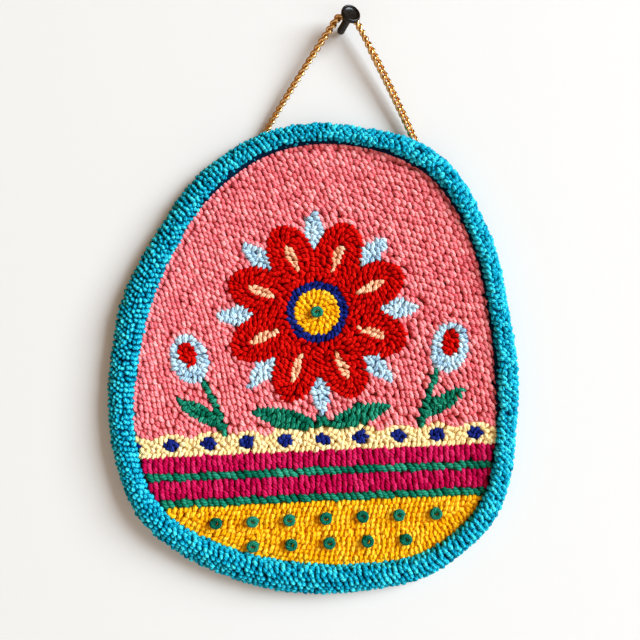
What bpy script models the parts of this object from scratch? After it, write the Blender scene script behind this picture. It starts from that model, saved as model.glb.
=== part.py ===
"""Punch needle wall piece: an egg-shaped looped panel in a raised border, hung by a curb chain on a push pin.

Metres, +Z up. The wall is the plane Y = 0 and the face looks along -Y. The origin is where the pin's rounded
end meets the wall, so the whole piece hangs below it.
"""

import math
from collections import namedtuple

import bmesh
import bpy
from mathutils import Matrix, Vector

MM = 0.001
GAP = 0.3 * MM

# The egg: its centre below the pin, and its outline seen from the front.
EGG_CENTRE_X = -13.8 * MM
EGG_CENTRE_Z = -213.8 * MM
Station = namedtuple("Station", "bearing_deg reach_mm roll_width_mm")
OUTLINE = [Station(*row) for row in (
    (0, 125.0, 13.8),
    (20, 126.0, 12.8),
    (40, 138.3, 13.6),
    (60, 153.2, 14.6),
    (80, 153.8, 13.0),
    (100, 152.4, 14.0),
    (120, 144.0, 15.6),
    (140, 134.0, 17.0),
    (160, 131.6, 19.0),
    (180, 133.0, 18.8),
    (200, 140.1, 16.6),
    (220, 148.8, 15.2),
    (240, 147.3, 19.4),
    (260, 144.2, 20.0),
    (280, 145.4, 18.8),
    (300, 149.8, 15.6),
    (320, 146.3, 14.4),
    (340, 132.4, 13.9),
)]
STATIONS = 96

# The border roll's section, from the outer side round the crest to the inner side and along the flat back:
# how far across its width, and how far up towards its crest.
ROLL_SECTION = (
    (0.30, 0.0),
    (0.13, 0.11),
    (0.03, 0.27),
    (0.0, 0.47),
    (0.05, 0.70),
    (0.20, 0.89),
    (0.42, 1.0),
    (0.64, 0.99),
    (0.84, 0.88),
    (0.97, 0.70),
    (1.0, 0.48),
    (1.0, 0.0),
)
ROLL_CREST = 15.6 * MM
ROLL_LUMPS = ((7, 0.25 * MM, 0.6), (11, 0.2 * MM, 2.1), (19, 0.15 * MM, 4.0))

# The punched panel inside the roll: cloth, back stitches and loops are one thick sheet.
PANEL_THICKNESS = 9.6 * MM
PANEL_SHOULDER = 1.1 * MM
PANEL_GAP = 0.4 * MM
PANEL_RINGS = (0.2, 0.4, 0.6, 0.8, 0.94)
PANEL_WAVES = ((2, 0.30 * MM, 0.5), (3, 0.25 * MM, 2.0), (5, 0.15 * MM, 3.4))

# The picture hangs a little turned, so the rows of raised knots do too.
PICTURE_TURN = math.radians(2.5)
KNOT_RADIUS = 4.2 * MM
KNOT_HEIGHT = 3.3 * MM
KNOT_STEPS = 10
KNOT_PROFILE = ((0.0, 1.0), (0.42, 0.93), (0.78, 0.72), (1.0, 0.36), (0.86, 0.0), (0.0, 0.0))
KnotRow = namedtuple("KnotRow", "height_mm spacing_mm count shift_mm")
KNOT_ROWS = [KnotRow(*row) for row in (
    (34.0, 0.0, 1, 0.0),
    (-95.5, 23.0, 7, 0.0),
    (-111.0, 24.0, 5, 1.5),
)]

# The push pin: a turned plastic body with a ball end at the wall, tilted up and to the right.
PIN_SHANK_RADIUS = 2.5 * MM
PIN_AXIS = Vector((0.40, -1.0, 0.32)).normalized()
PIN_STEPS = 28
PIN_BALL_POINTS = 5
# Its profile from the shank to the middle of the dished face: radius and place along the axis, in mm.
PIN_PROFILE = (
    (2.4, 6.0),
    (2.5, 11.6),
    (3.3, 13.1),
    (5.2, 14.1),
    (6.1, 14.8),
    (6.2, 16.0),
    (5.8, 16.9),
    (5.2, 17.1),
    (4.7, 16.7),
    (4.4, 16.1),
    (0.0, 15.9),
)

# The curb chain: one link made once, then hung along the route.
LINK_LENGTH = 6.0 * MM
LINK_WIDTH = 3.1 * MM
LINK_TWIST = 1.0 * MM
LINK_WIRE = 0.85 * MM
LINK_POINTS = 12
LINK_PITCH = 4.4 * MM
SHOULDER_LINK_ANGLE = math.radians(33)
CHAIN_SEAT_ON_PIN = 8.4 * MM
CHAIN_TILT_ON_PIN = math.radians(3.5)
Run = namedtuple("Run", "side links drop_deg end_depth_mm bulge_mm face_turn_deg")
RUNS = [Run(*row) for row in (
    (-1, 19, 57.0, 3.6, 0.8, 15),
    (1, 19, 63.0, 3.6, 0.8, 75),
)]
LINKS_TO_TURN = 8


def new_collection(name):
    collection = bpy.data.collections.new(name)
    bpy.context.scene.collection.children.link(collection)
    return collection


def finish(name, colour, roughness, metallic=0.0):
    """A Principled material with one colour."""
    material = bpy.data.materials.new(name)
    material.use_nodes = True
    shader = material.node_tree.nodes["Principled BSDF"]
    shader.inputs["Base Color"].default_value = (*colour, 1.0)
    shader.inputs["Roughness"].default_value = roughness
    shader.inputs["Metallic"].default_value = metallic
    return material


def add_mesh(name, bm, material, collection):
    """Turns a bmesh into a named object of the part."""
    bmesh.ops.recalc_face_normals(bm, faces=bm.faces)
    mesh = bpy.data.meshes.new(name)
    bm.to_mesh(mesh)
    bm.free()
    mesh.materials.append(material)
    mesh.shade_smooth()
    collection.objects.link(bpy.data.objects.new(name, mesh))


def between_rows(a, b, c, d, t):
    """Catmull-Rom value between b and c."""
    return 0.5 * (2 * b + (c - a) * t + (2 * a - 5 * b + 4 * c - d) * t**2 + (3 * b - a - 3 * c + d) * t**3)


def outline_at(bearing):
    """Outer reach and roll width at a bearing, read smoothly between the table's evenly spaced rows."""
    place = bearing / (2 * math.pi) * len(OUTLINE)
    row = math.floor(place)
    near = [OUTLINE[(row + k) % len(OUTLINE)] for k in (-1, 0, 1, 2)]
    reach = between_rows(*(station.reach_mm for station in near), place - row) * MM
    width = between_rows(*(station.roll_width_mm for station in near), place - row) * MM
    return reach, width


def waves(table, bearing):
    return sum(height * math.sin(count * bearing + start) for count, height, start in table)


def egg_point(bearing, reach, depth):
    """A point at a bearing from the egg's centre, this far out and this far from the wall."""
    x = EGG_CENTRE_X + reach * math.cos(bearing)
    z = EGG_CENTRE_Z + reach * math.sin(bearing)
    return Vector((x, -depth, z))


def bridge(bm, first, second):
    """Quads between two closed rings of vertices."""
    count = len(first)
    for i in range(count):
        j = (i + 1) % count
        bm.faces.new((first[i], first[j], second[j], second[i]))


def build_border_roll(collection):
    """The raised roll: one section carried round the egg, its width and crest changing as it goes."""
    bm = bmesh.new()
    rings = []
    for across, rise in ROLL_SECTION:
        ring = []
        for k in range(STATIONS):
            bearing = 2 * math.pi * k / STATIONS
            reach, width = outline_at(bearing)
            swell = waves(ROLL_LUMPS, bearing)
            depth = rise * (ROLL_CREST + swell)
            outward = swell * (1 - across)
            ring.append(bm.verts.new(egg_point(bearing, reach + outward - across * width, depth)))
        rings.append(ring)
    for k, ring in enumerate(rings):
        bridge(bm, ring, rings[(k + 1) % len(rings)])
    material = finish("turquoise_looped_yarn", (0.010, 0.33, 0.45), roughness=0.85)
    add_mesh("border_roll", bm, material, collection)


def panel_depth(bearing, share):
    """How far the looped face stands from the wall: nearly flat, with a slow unevenness."""
    return PANEL_THICKNESS + share * waves(PANEL_WAVES, bearing)


def build_punched_panel(collection):
    """The cloth with its loops, as one thick egg-shaped sheet with a soft shoulder at its edge."""
    bm = bmesh.new()
    bearings = [2 * math.pi * k / STATIONS for k in range(STATIONS)]
    rows = [(share, [panel_depth(bearing, share) for bearing in bearings]) for share in PANEL_RINGS]
    rows.append((1.0, [panel_depth(bearing, 1.0) - PANEL_SHOULDER for bearing in bearings]))
    rows.append((1.0, [0.0] * STATIONS))
    rings = []
    for share, depths in rows:
        ring = []
        for bearing, depth in zip(bearings, depths):
            reach, width = outline_at(bearing)
            ring.append(bm.verts.new(egg_point(bearing, share * (reach - width - PANEL_GAP), depth)))
        rings.append(ring)
    for outer, inner in zip(rings[1:], rings):
        bridge(bm, inner, outer)
    front = bm.verts.new(egg_point(0.0, 0.0, PANEL_THICKNESS))
    back = bm.verts.new(egg_point(0.0, 0.0, 0.0))
    for k in range(STATIONS):
        j = (k + 1) % STATIONS
        bm.faces.new((front, rings[0][j], rings[0][k]))
        bm.faces.new((back, rings[-1][k], rings[-1][j]))
    material = finish("pink_looped_yarn", (0.80, 0.24, 0.25), roughness=0.85)
    add_mesh("punched_panel", bm, material, collection)


def turned(name, profile, steps, material, collection):
    """A turned solid about its own Z, from a profile of (radius, height) that runs from top to foot."""
    mesh = bpy.data.meshes.new(name)
    edges = [(k, k + 1) for k in range(len(profile) - 1)]
    mesh.from_pydata([(radius, 0.0, height) for radius, height in profile], edges, [])
    mesh.materials.append(material)
    thing = bpy.data.objects.new(name, mesh)
    collection.objects.link(thing)
    screw = thing.modifiers.new("turned", "SCREW")
    screw.steps = screw.render_steps = steps
    screw.use_merge_vertices = True
    screw.merge_threshold = 0.00001
    screw.use_smooth_shade = True
    return thing


def build_raised_knots(collection):
    """Tufts of thick yarn pulled up above the loops: one at the flower's heart and two rows near the foot."""
    material = finish("sea_green_tufted_yarn", (0.012, 0.20, 0.11), roughness=0.85)
    profile = [(share * KNOT_RADIUS, rise * KNOT_HEIGHT) for share, rise in KNOT_PROFILE]
    number = 0
    for row in KNOT_ROWS:
        for k in range(row.count):
            number += 1
            x = (row.shift_mm + row.spacing_mm * (k - (row.count - 1) / 2)) * MM
            place = Matrix.Rotation(PICTURE_TURN, 2) @ Vector((x, row.height_mm * MM))
            bearing = math.atan2(place.y, place.x)
            reach, width = outline_at(bearing)
            share = place.length / (reach - width)
            knot = turned(f"raised_knot_{number:02d}", profile, KNOT_STEPS, material, collection)
            depth = panel_depth(bearing, share) + GAP
            knot.matrix_world = Matrix.Translation(egg_point(bearing, place.length, depth)) @ face_forward()


def face_forward():
    """Turns a solid that stands on +Z so that it stands out from the wall."""
    return Matrix.Rotation(math.radians(90), 4, "X")


def along(direction, up):
    """A frame with X along a direction and Z as near to up as can be."""
    x = direction.normalized()
    y = up.cross(x).normalized()
    z = x.cross(y)
    return Matrix((x, y, z)).transposed().to_4x4()


def build_wall_pin(collection):
    """The push pin: ball end at the wall, slim shank, and a flat head with a raised rim and a dished face."""
    profile = [(radius * MM, height * MM) for radius, height in reversed(PIN_PROFILE)]
    for k in range(PIN_BALL_POINTS + 1):
        angle = math.radians(90) * k / PIN_BALL_POINTS
        profile.append((PIN_SHANK_RADIUS * math.cos(angle), -PIN_SHANK_RADIUS * math.sin(angle)))
    material = finish("black_moulded_plastic", (0.01, 0.01, 0.011), roughness=0.3)
    pin = turned("wall_pin", profile, PIN_STEPS, material, collection)
    tilt = PIN_AXIS.to_track_quat("Z", "Y").to_matrix().to_4x4()
    pin.matrix_world = Matrix.Translation(pin_ball_centre()) @ tilt


def pin_ball_centre():
    return Vector((0.0, -PIN_SHANK_RADIUS, 0.0))


def link_mesh(material):
    """One curb link: an oval of wire whose sides are twisted, one up and one down, as a closed ring."""
    curve = bpy.data.curves.new("curb_link", "CURVE")
    curve.dimensions = "3D"
    curve.bevel_depth = LINK_WIRE / 2
    curve.bevel_resolution = 1
    spline = curve.splines.new("POLY")
    spline.points.add(LINK_POINTS - 1)
    for k, point in enumerate(spline.points):
        turn = 2 * math.pi * k / LINK_POINTS
        x = LINK_LENGTH / 2 * math.cos(turn)
        y = LINK_WIDTH / 2 * math.sin(turn)
        z = LINK_TWIST * math.sin(2 * turn)
        point.co = (x, y, z, 1.0)
    spline.use_cyclic_u = True
    guide = bpy.data.objects.new("curb_link_guide", curve)
    bpy.context.scene.collection.objects.link(guide)
    evaluated = guide.evaluated_get(bpy.context.evaluated_depsgraph_get())
    mesh = bpy.data.meshes.new_from_object(evaluated)
    bpy.data.objects.remove(guide)
    mesh.name = "curb_link"
    mesh.materials.clear()
    mesh.materials.append(material)
    mesh.shade_smooth()
    return mesh


def chain_frames():
    """Each link's frame, from the left end over the pin to the right end."""
    towards_room = Vector((0.0, -1.0, 0.0))
    across = Vector((math.cos(CHAIN_TILT_ON_PIN), 0.0, -math.sin(CHAIN_TILT_ON_PIN)))
    rise = PIN_AXIS.cross(across).normalized()
    on_pin = pin_ball_centre() + CHAIN_SEAT_ON_PIN * PIN_AXIS
    top = on_pin + (PIN_SHANK_RADIUS + GAP + LINK_TWIST + LINK_WIRE / 2) * rise
    frames = [Matrix.Translation(top) @ along(across, rise)]
    for run in RUNS:
        side = run.side
        shoulder = side * math.cos(SHOULDER_LINK_ANGLE) * across - math.sin(SHOULDER_LINK_ANGLE) * rise
        shoulder_face = side * math.sin(SHOULDER_LINK_ANGLE) * across + math.cos(SHOULDER_LINK_ANGLE) * rise
        joint = top + side * LINK_PITCH / 2 * across
        joints = [joint, joint + LINK_PITCH * shoulder]
        drop = math.radians(run.drop_deg)
        heading = Vector((side * math.cos(drop), 0.0, -math.sin(drop)))
        outward = Vector((side * math.sin(drop), 0.0, math.cos(drop)))
        lift = -run.end_depth_mm * MM - joints[1].y
        for k in range(1, run.links + 1):
            share = k / run.links
            bow = 4 * run.bulge_mm * MM * share * (1 - share)
            step = heading * LINK_PITCH * k + outward * bow + Vector((0.0, lift * share, 0.0))
            joints.append(joints[1] + step)
        face_turn = math.radians(run.face_turn_deg)
        run_face = math.cos(face_turn) * outward + math.sin(face_turn) * towards_room
        for k, (start, end) in enumerate(zip(joints, joints[1:])):
            face = shoulder_face.lerp(run_face, min(1.0, k / LINKS_TO_TURN))
            frame = Matrix.Translation((start + end) / 2) @ along(side * (end - start), face)
            if side < 0:
                frames.insert(0, frame)
            else:
                frames.append(frame)
    return frames


def build_chain(collection):
    """The curb chain, each link hooked through the next and hanging free of it."""
    mesh = link_mesh(finish("gold_plated_wire", (0.80, 0.50, 0.18), roughness=0.25, metallic=1.0))
    for number, frame in enumerate(chain_frames(), 1):
        link = bpy.data.objects.new(f"chain_link_{number:02d}", mesh)
        collection.objects.link(link)
        link.matrix_world = frame


def main():
    for thing in list(bpy.data.objects):
        bpy.data.objects.remove(thing)
    collection = new_collection("punch_needle_wall_piece")
    build_punched_panel(collection)
    build_border_roll(collection)
    build_raised_knots(collection)
    build_wall_pin(collection)
    build_chain(collection)


main()
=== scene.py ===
"""An egg-shaped punch needle wall piece on its chain and push pin, with every loop of yarn in place.

Lengths are in millimetres until a mesh is made. X is to the right, Z is up and depth is measured from the
wall towards the room, so a point's Y is minus its depth.
"""

import math

import bpy
import numpy as np
from mathutils import Matrix, Vector
from mathutils.kdtree import KDTree


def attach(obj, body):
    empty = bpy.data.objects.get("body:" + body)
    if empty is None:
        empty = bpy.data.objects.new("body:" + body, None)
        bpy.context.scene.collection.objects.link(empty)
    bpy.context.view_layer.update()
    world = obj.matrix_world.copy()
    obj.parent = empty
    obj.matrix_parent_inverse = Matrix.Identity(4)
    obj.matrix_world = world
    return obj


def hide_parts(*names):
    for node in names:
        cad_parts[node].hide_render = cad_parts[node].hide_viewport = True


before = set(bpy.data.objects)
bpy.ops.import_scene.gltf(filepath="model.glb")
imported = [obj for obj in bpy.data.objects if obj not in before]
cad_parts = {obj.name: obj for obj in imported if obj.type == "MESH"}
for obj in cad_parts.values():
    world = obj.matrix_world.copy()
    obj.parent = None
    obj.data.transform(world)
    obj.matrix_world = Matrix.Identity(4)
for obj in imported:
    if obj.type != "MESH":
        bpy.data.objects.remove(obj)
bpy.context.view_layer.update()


# Foundation cloth
# An egg cut from cream even-weave cotton, the open cloth that a punch needle is pushed through. Every loop on
# the face stands in it, and its edge is turned to the back.

MM = 0.001
EGG_CENTRE = np.array([-13.8, -213.8])
OUTLINE = np.array([
    # reach and roll width, every 20 degrees from the right-hand side round by the top
    (125.0, 13.8), (126.0, 12.8), (138.3, 13.6), (153.2, 14.6), (153.8, 13.0), (152.4, 14.0),
    (144.0, 15.6), (134.0, 17.0), (131.6, 19.0), (133.0, 18.8), (140.1, 16.6), (148.8, 15.2),
    (147.3, 19.4), (144.2, 20.0), (145.4, 18.8), (149.8, 15.6), (146.3, 14.4), (132.4, 13.9),
])
CLOTH_FRONT, CLOTH_BACK = 2.3, 1.1
CLOTH_INSET = 0.34
CLOTH_STATIONS = 144
CLOTH_RINGS = (0.25, 0.5, 0.75, 0.93, 1.0)
THREAD_SPACING = 2.1  # about twelve pairs of threads to the inch
SLUBS_TO_METRE = 900.0  # a thick place in the thread about every 1.1 mm


def egg_edge(bearing):
    """Reach of the outline and width of the roll at each bearing, smooth between the table's rows."""
    place = np.mod(bearing, 2 * np.pi) / (2 * np.pi) * len(OUTLINE)
    row = np.floor(place).astype(int)
    t = (place - row)[:, None]
    a, b, c, d = (OUTLINE[(row + k) % len(OUTLINE)] for k in (-1, 0, 1, 2))
    curve = 0.5 * (2 * b + (c - a) * t + (2 * a - 5 * b + 4 * c - d) * t**2
                   + (3 * b - a - 3 * c + d) * t**3)
    return curve[:, 0], curve[:, 1]


def at_bearing(bearing, reach, depth):
    """Points in the room, in mm, from bearings, distances from the egg's centre and depths."""
    x = EGG_CENTRE[0] + reach * np.cos(bearing)
    z = EGG_CENTRE[1] + reach * np.sin(bearing)
    return np.stack([x, -np.broadcast_to(depth, x.shape), z], axis=-1)


def ring_faces(rings, stations, closed_section):
    """Quads between rings of points that lie one after another."""
    faces = []
    k = np.arange(stations)
    following = (k + 1) % stations
    for ring in range(rings if closed_section else rings - 1):
        here, there = ring * stations, (ring + 1) % rings * stations
        faces.append(np.stack([here + k, here + following, there + following, there + k], axis=1))
    return np.concatenate(faces)


def fan(middle, first, stations):
    """Triangles between a ring of points and one point in its middle."""
    k = np.arange(stations)
    return np.stack([np.full(stations, middle), first + (k + 1) % stations, first + k], axis=1)


def add_object(name, data):
    """An object in the scene, from its mesh, lamp or camera."""
    made = bpy.data.objects.new(name, data)
    bpy.context.scene.collection.objects.link(made)
    return made


def make_piece(name, points, polygons, material, uv=None, tone=None):
    """A smooth mesh piece that hangs with the part, from points in mm and arrays of polygon corners."""
    corners = np.concatenate([p.ravel() for p in polygons])
    sides = np.concatenate([np.full(len(p), p.shape[1]) for p in polygons])
    mesh = bpy.data.meshes.new(name)
    mesh.vertices.add(len(points))
    mesh.vertices.foreach_set("co", (points * MM).astype(np.float32).ravel())
    mesh.loops.add(len(corners))
    mesh.loops.foreach_set("vertex_index", corners.astype(np.int32))
    mesh.polygons.add(len(sides))
    mesh.polygons.foreach_set("loop_start", (np.cumsum(sides) - sides).astype(np.int32))
    if uv is not None:
        mesh.uv_layers.new(name="yarn").data.foreach_set("uv", uv.astype(np.float32).ravel())
    if tone is not None:
        mesh.attributes.new("tone", "FLOAT", "POINT").data.foreach_set("value", tone.astype(np.float32))
    mesh.update(calc_edges=True)
    mesh.shade_smooth()
    mesh.materials.append(material)
    piece = add_object(name, mesh)
    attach(piece, "root")
    return piece


def linear(code):
    """An sRGB hex colour as linear light."""
    parts = [int(code[k:k + 2], 16) / 255 for k in (1, 3, 5)]
    return (*(p / 12.92 if p <= 0.04045 else ((p + 0.055) / 1.055) ** 2.4 for p in parts), 1.0)


def new_material(name):
    """A material with its node tree and its shader."""
    material = bpy.data.materials.new(name)
    material.use_nodes = True
    return material, material.node_tree, material.node_tree.nodes["Principled BSDF"]


def set_inputs(tree, node, inputs):
    """Gives each input of a node its value, or a link from another node's socket."""
    for name, value in inputs.items():
        if isinstance(value, bpy.types.NodeSocket):
            tree.links.new(value, node.inputs[name])
        else:
            node.inputs[name].default_value = value


def add_node(tree, kind, inputs=None, **settings):
    """One node: settings are its own, and inputs are what its sockets take."""
    made = tree.nodes.new(kind)
    for name, value in settings.items():
        setattr(made, name, value)
    set_inputs(tree, made, inputs or {})
    return made


def woven_cotton(name, thread, gap):
    """Cotton in plain weave: soft round threads over and under, with darker gaps that catch no light."""
    material, tree, shader = new_material(name)
    place = add_node(tree, "ShaderNodeTexCoord")
    split = add_node(tree, "ShaderNodeSeparateXYZ", {0: place.outputs["Object"]})
    turns = 2 * math.pi / (THREAD_SPACING * MM)
    threads = {}
    for number, axis in enumerate("XZ"):
        turn = add_node(tree, "ShaderNodeMath", {0: split.outputs[axis], 1: turns}, operation="MULTIPLY")
        wave = add_node(tree, "ShaderNodeMath", {0: turn.outputs[0]}, operation="SINE")
        threads[number] = wave.outputs[0]
    cross = add_node(tree, "ShaderNodeMath", threads, operation="MULTIPLY")
    slub = add_node(tree, "ShaderNodeTexNoise",
                    {"Vector": place.outputs["Object"], "Scale": SLUBS_TO_METRE, "Detail": 3.0})
    raised = add_node(tree, "ShaderNodeMath",
                      {0: cross.outputs[0], 1: 0.5, 2: slub.outputs["Fac"]}, operation="MULTIPLY_ADD")
    ramp = add_node(tree, "ShaderNodeValToRGB", {"Fac": raised.outputs[0]})
    ramp.color_ramp.elements[0].color = linear(gap)
    ramp.color_ramp.elements[1].color = linear(thread)
    ramp.color_ramp.elements[1].position = 0.7
    bump = add_node(tree, "ShaderNodeBump",
                    {"Height": raised.outputs[0], "Distance": 0.0004, "Strength": 0.8})
    set_inputs(tree, shader, {"Base Color": ramp.outputs["Color"], "Normal": bump.outputs["Normal"],
                              "Roughness": 0.9, "Sheen Weight": 0.15})
    return material


around = 2 * np.pi * np.arange(CLOTH_STATIONS) / CLOTH_STATIONS
reach, width = egg_edge(around)
cloth_reach = reach - CLOTH_INSET * width
points = [at_bearing(around, share * cloth_reach, CLOTH_FRONT) for share in CLOTH_RINGS]
points += [at_bearing(around, share * cloth_reach, CLOTH_BACK) for share in CLOTH_RINGS[::-1]]
hub = 2 * len(CLOTH_RINGS) * CLOTH_STATIONS
points.append(at_bearing(np.zeros(2), np.zeros(2), np.array([CLOTH_FRONT, CLOTH_BACK])))
front_fan = fan(hub, 0, CLOTH_STATIONS)[:, ::-1]
back_fan = fan(hub + 1, hub - CLOTH_STATIONS, CLOTH_STATIONS)
cloth_quads = ring_faces(2 * len(CLOTH_RINGS), CLOTH_STATIONS, closed_section=False)[:, ::-1]
even_weave = woven_cotton("cotton_even_weave", "#E9DEC6", "#B7A684")
foundation_cloth = make_piece("foundation_cloth", np.concatenate(points),
                              [cloth_quads, front_fan, back_fan], even_weave)
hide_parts("punched_panel")


# Turned edge
# The cloth's margin, of the same cotton. It is folded to the back and pressed flat behind the roll, where it
# hides the roll's own stitches. Its raw edge is a little uneven, as scissors leave it.

HEM_WIDTH = 13.0
HEM_WAVES = ((9, 0.9, 1.0), (23, 0.6, 0.0))
HEM_FOLD = ((0.0, 1.05), (0.5, 0.85), (0.7, 0.55), (0.5, 0.2), (0.0, 0.02))
HEM_EDGE = (0.02, 0.95)


def unevenness(waves, bearing):
    """Slow waves of handwork round the egg: each row is a count, a height and a start."""
    return sum(height * np.sin(count * bearing + start) for count, height, start in waves)


hem_reach = cloth_reach - HEM_WIDTH - unevenness(HEM_WAVES, around)
hem = [at_bearing(around, cloth_reach + outward, depth) for outward, depth in HEM_FOLD]
hem += [at_bearing(around, hem_reach, depth) for depth in HEM_EDGE]
turned_edge = make_piece("turned_edge", np.concatenate(hem),
                         [ring_faces(len(hem), CLOTH_STATIONS, closed_section=True)], even_weave)


# The picture
# A folk flower with two buds over scalloped and striped bands, drawn on the cloth before punching. It adds no
# piece of its own, and says where every loop of the face goes: rows of loops follow each shape's outline and
# then fill it, and the ground lies in long columns that are nearly upright.

PICTURE_TURN = math.radians(2.5)
GRID_REACH_X, GRID_REACH_Z, GRID_STEP = 136, 152, 0.5
FIELD_STRIDE = 2
FIELD_STEP = GRID_STEP * FIELD_STRIDE
PAST_THE_EDGE = 1.0
FLOWER_HEART = 34.0
PETALS = 8
PETAL_MIDDLE, PETAL_LENGTH, PETAL_WIDTH = 37.5, 21.5, 14.2
TEAR_FROM, TEAR_TO, TEAR_WIDTH = 25.0, 47.0, 3.6
TEAR_NARROW, TEAR_BROAD = 0.55, 0.45
SEPAL_FROM, SEPAL_TO, SEPAL_WIDTH, SEPAL_ROUNDING = 34.0, 66.0, 10.0, 0.7
RING_INSIDE, RING_OUTSIDE = 14.5, 19.5
BUD_PLACE, BUD_LEAN = (82.0, 8.0), 16.0
BUD_SIZE, BUD_HEART, BUD_HEART_LIFT = (11.5, 16.0), (5.5, 8.5), 3.0
STEM_WIDTH, STEM_FOOT, STEM_BEND, MAIN_STEM_WIDTH = 4.4, (62.0, -42.0), 1.5, 5.6
# foot across and up, rise in degrees, length and half width of each leaf
LEAVES = ((1.0, -37.5, 14.0, 47.0, 5.6), (64.0, -35.0, 34.0, 33.0, 4.8))
SCALLOP_TOP, SCALLOP_PITCH, SCALLOP_HEIGHT = -38.5, 24.0, 4.5
LOZENGE_HEIGHT, LOZENGE_SIZE = -46.0, (7.0, 4.6)
STRIPES_TOP, STRIPES_FOOT = -53.0, -86.4

GROUND, PALE, RED_A, RED_B, NAVY, GOLD, LEAF, CREAM, PEACH, STRIPES = range(10)


def turned(x, z, degrees):
    """Picture coordinates turned anticlockwise."""
    angle = math.radians(degrees)
    return x * math.cos(angle) - z * math.sin(angle), x * math.sin(angle) + z * math.cos(angle)


def to_egg(x, z):
    """From the picture's own coordinates to the hanging egg's, which is a little turned."""
    return turned(x, z, math.degrees(PICTURE_TURN))


def inside_egg(x, z, margin):
    """How far inside the panel's edge each point lies, less a margin."""
    ex, ez = to_egg(x, z)
    reach, width = egg_edge(np.arctan2(ez, ex).ravel())
    return (reach - width).reshape(x.shape) - np.hypot(ex, ez) - margin


def draw_picture(x, z):
    """The shape that each point belongs to, painted from the ground up."""
    shape = np.full(x.shape, GROUND)
    for side in (-1, 1):
        climb = np.clip((z - STEM_FOOT[1]) / (BUD_PLACE[1] - STEM_FOOT[1]), 0, 1)
        stem = STEM_FOOT[0] + (BUD_PLACE[0] - STEM_FOOT[0]) * climb**STEM_BEND
        shape[(np.abs(side * x - stem) < STEM_WIDTH / 2) & (z < BUD_PLACE[1])] = LEAF
        for foot_x, foot_z, rise, length, half in LEAVES:
            lx, lz = turned(side * x - foot_x, z - foot_z, -rise)
            along = np.clip(lx / length, 0, 1)
            shape[np.abs(lz) < half * 4 * along * (1 - along)] = LEAF
        bx, bz = turned(side * x - BUD_PLACE[0], z - BUD_PLACE[1], BUD_LEAN)
        cup = (bx / BUD_SIZE[0]) ** 2 + (bz / BUD_SIZE[1]) ** 2
        shape[cup < 1] = PALE
        heart = (bx / BUD_HEART[0]) ** 2 + ((bz - BUD_HEART_LIFT) / BUD_HEART[1]) ** 2
        shape[heart < 1] = RED_A
    shape[(np.abs(x) < MAIN_STEM_WIDTH / 2) & (z < FLOWER_HEART) & (z > STRIPES_TOP)] = LEAF
    for k in range(PETALS):
        px, pz = turned(x, z - FLOWER_HEART, -360 * k / PETALS)
        along = (px - SEPAL_FROM) / (SEPAL_TO - SEPAL_FROM)
        sepal = np.abs(pz) < SEPAL_WIDTH * np.clip(1 - along, 0, 1) ** SEPAL_ROUNDING
        shape[sepal & (along > 0)] = PALE
    for k in range(PETALS):
        px, pz = turned(x, z - FLOWER_HEART, -360 * (k + 0.5) / PETALS)
        petal = ((px - PETAL_MIDDLE) / PETAL_LENGTH) ** 2 + (pz / PETAL_WIDTH) ** 2
        half = np.abs(np.degrees(np.arctan2(pz, px))) < 180 / PETALS
        shape[(petal < 1) & half] = (RED_A, RED_B)[k % 2]
        along = (px - TEAR_FROM) / (TEAR_TO - TEAR_FROM)
        tear = TEAR_WIDTH * np.sqrt(np.clip(4 * along * (1 - along), 0, 1))
        tear = np.abs(pz) < tear * (TEAR_NARROW + TEAR_BROAD * along)
        shape[tear & (along > 0) & (along < 1)] = PEACH
    heart = np.hypot(x, z - FLOWER_HEART)
    shape[heart < RING_OUTSIDE] = NAVY
    shape[heart < RING_INSIDE] = GOLD
    scallop = SCALLOP_TOP - SCALLOP_HEIGHT * (1 - np.abs(np.cos(np.pi * x / SCALLOP_PITCH)))
    shape[z < scallop] = CREAM
    step = np.mod(x + SCALLOP_PITCH / 2, SCALLOP_PITCH) - SCALLOP_PITCH / 2
    lozenge = np.abs(step) / LOZENGE_SIZE[0] + np.abs(z - LOZENGE_HEIGHT) / LOZENGE_SIZE[1]
    shape[lozenge < 1] = NAVY
    shape[z < STRIPES_TOP] = STRIPES
    shape[z < STRIPES_FOOT] = GOLD
    return shape


span_x = np.arange(-GRID_REACH_X, GRID_REACH_X + 0.1, GRID_STEP)
span_z = np.arange(-GRID_REACH_Z, GRID_REACH_Z + 0.1, GRID_STEP)
grid_x, grid_z = np.meshgrid(span_x, span_z, indexing="ij")
drawing = draw_picture(grid_x, grid_z)
drawing[inside_egg(grid_x, grid_z, -PAST_THE_EDGE) < 0] = -1


def outline_points(drawing):
    """Points midway between neighbouring grid points that belong to different shapes."""
    found = []
    for axis in (0, 1):
        low = [slice(None)] * 2
        high = [slice(None)] * 2
        low[axis], high[axis] = slice(None, -1), slice(1, None)
        changed = np.argwhere(drawing[tuple(low)] != drawing[tuple(high)]).astype(float)
        changed[:, axis] += 0.5
        found.append(changed * GRID_STEP + (span_x[0], span_z[0]))
    return np.concatenate(found)


edges = outline_points(drawing)
edge_tree = KDTree(len(edges))
for number, (x, z) in enumerate(edges.tolist()):
    edge_tree.insert((x, z, 0.0), number)
edge_tree.balance()

coarse_x, coarse_z = span_x[::FIELD_STRIDE], span_z[::FIELD_STRIDE]
coarse = drawing[::FIELD_STRIDE, ::FIELD_STRIDE]
depth_inside = np.full(coarse.shape, -1.0)
for i, j in np.argwhere(coarse >= 0).tolist():
    depth_inside[i, j] = edge_tree.find((coarse_x[i], coarse_z[j], 0.0))[2]


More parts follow.
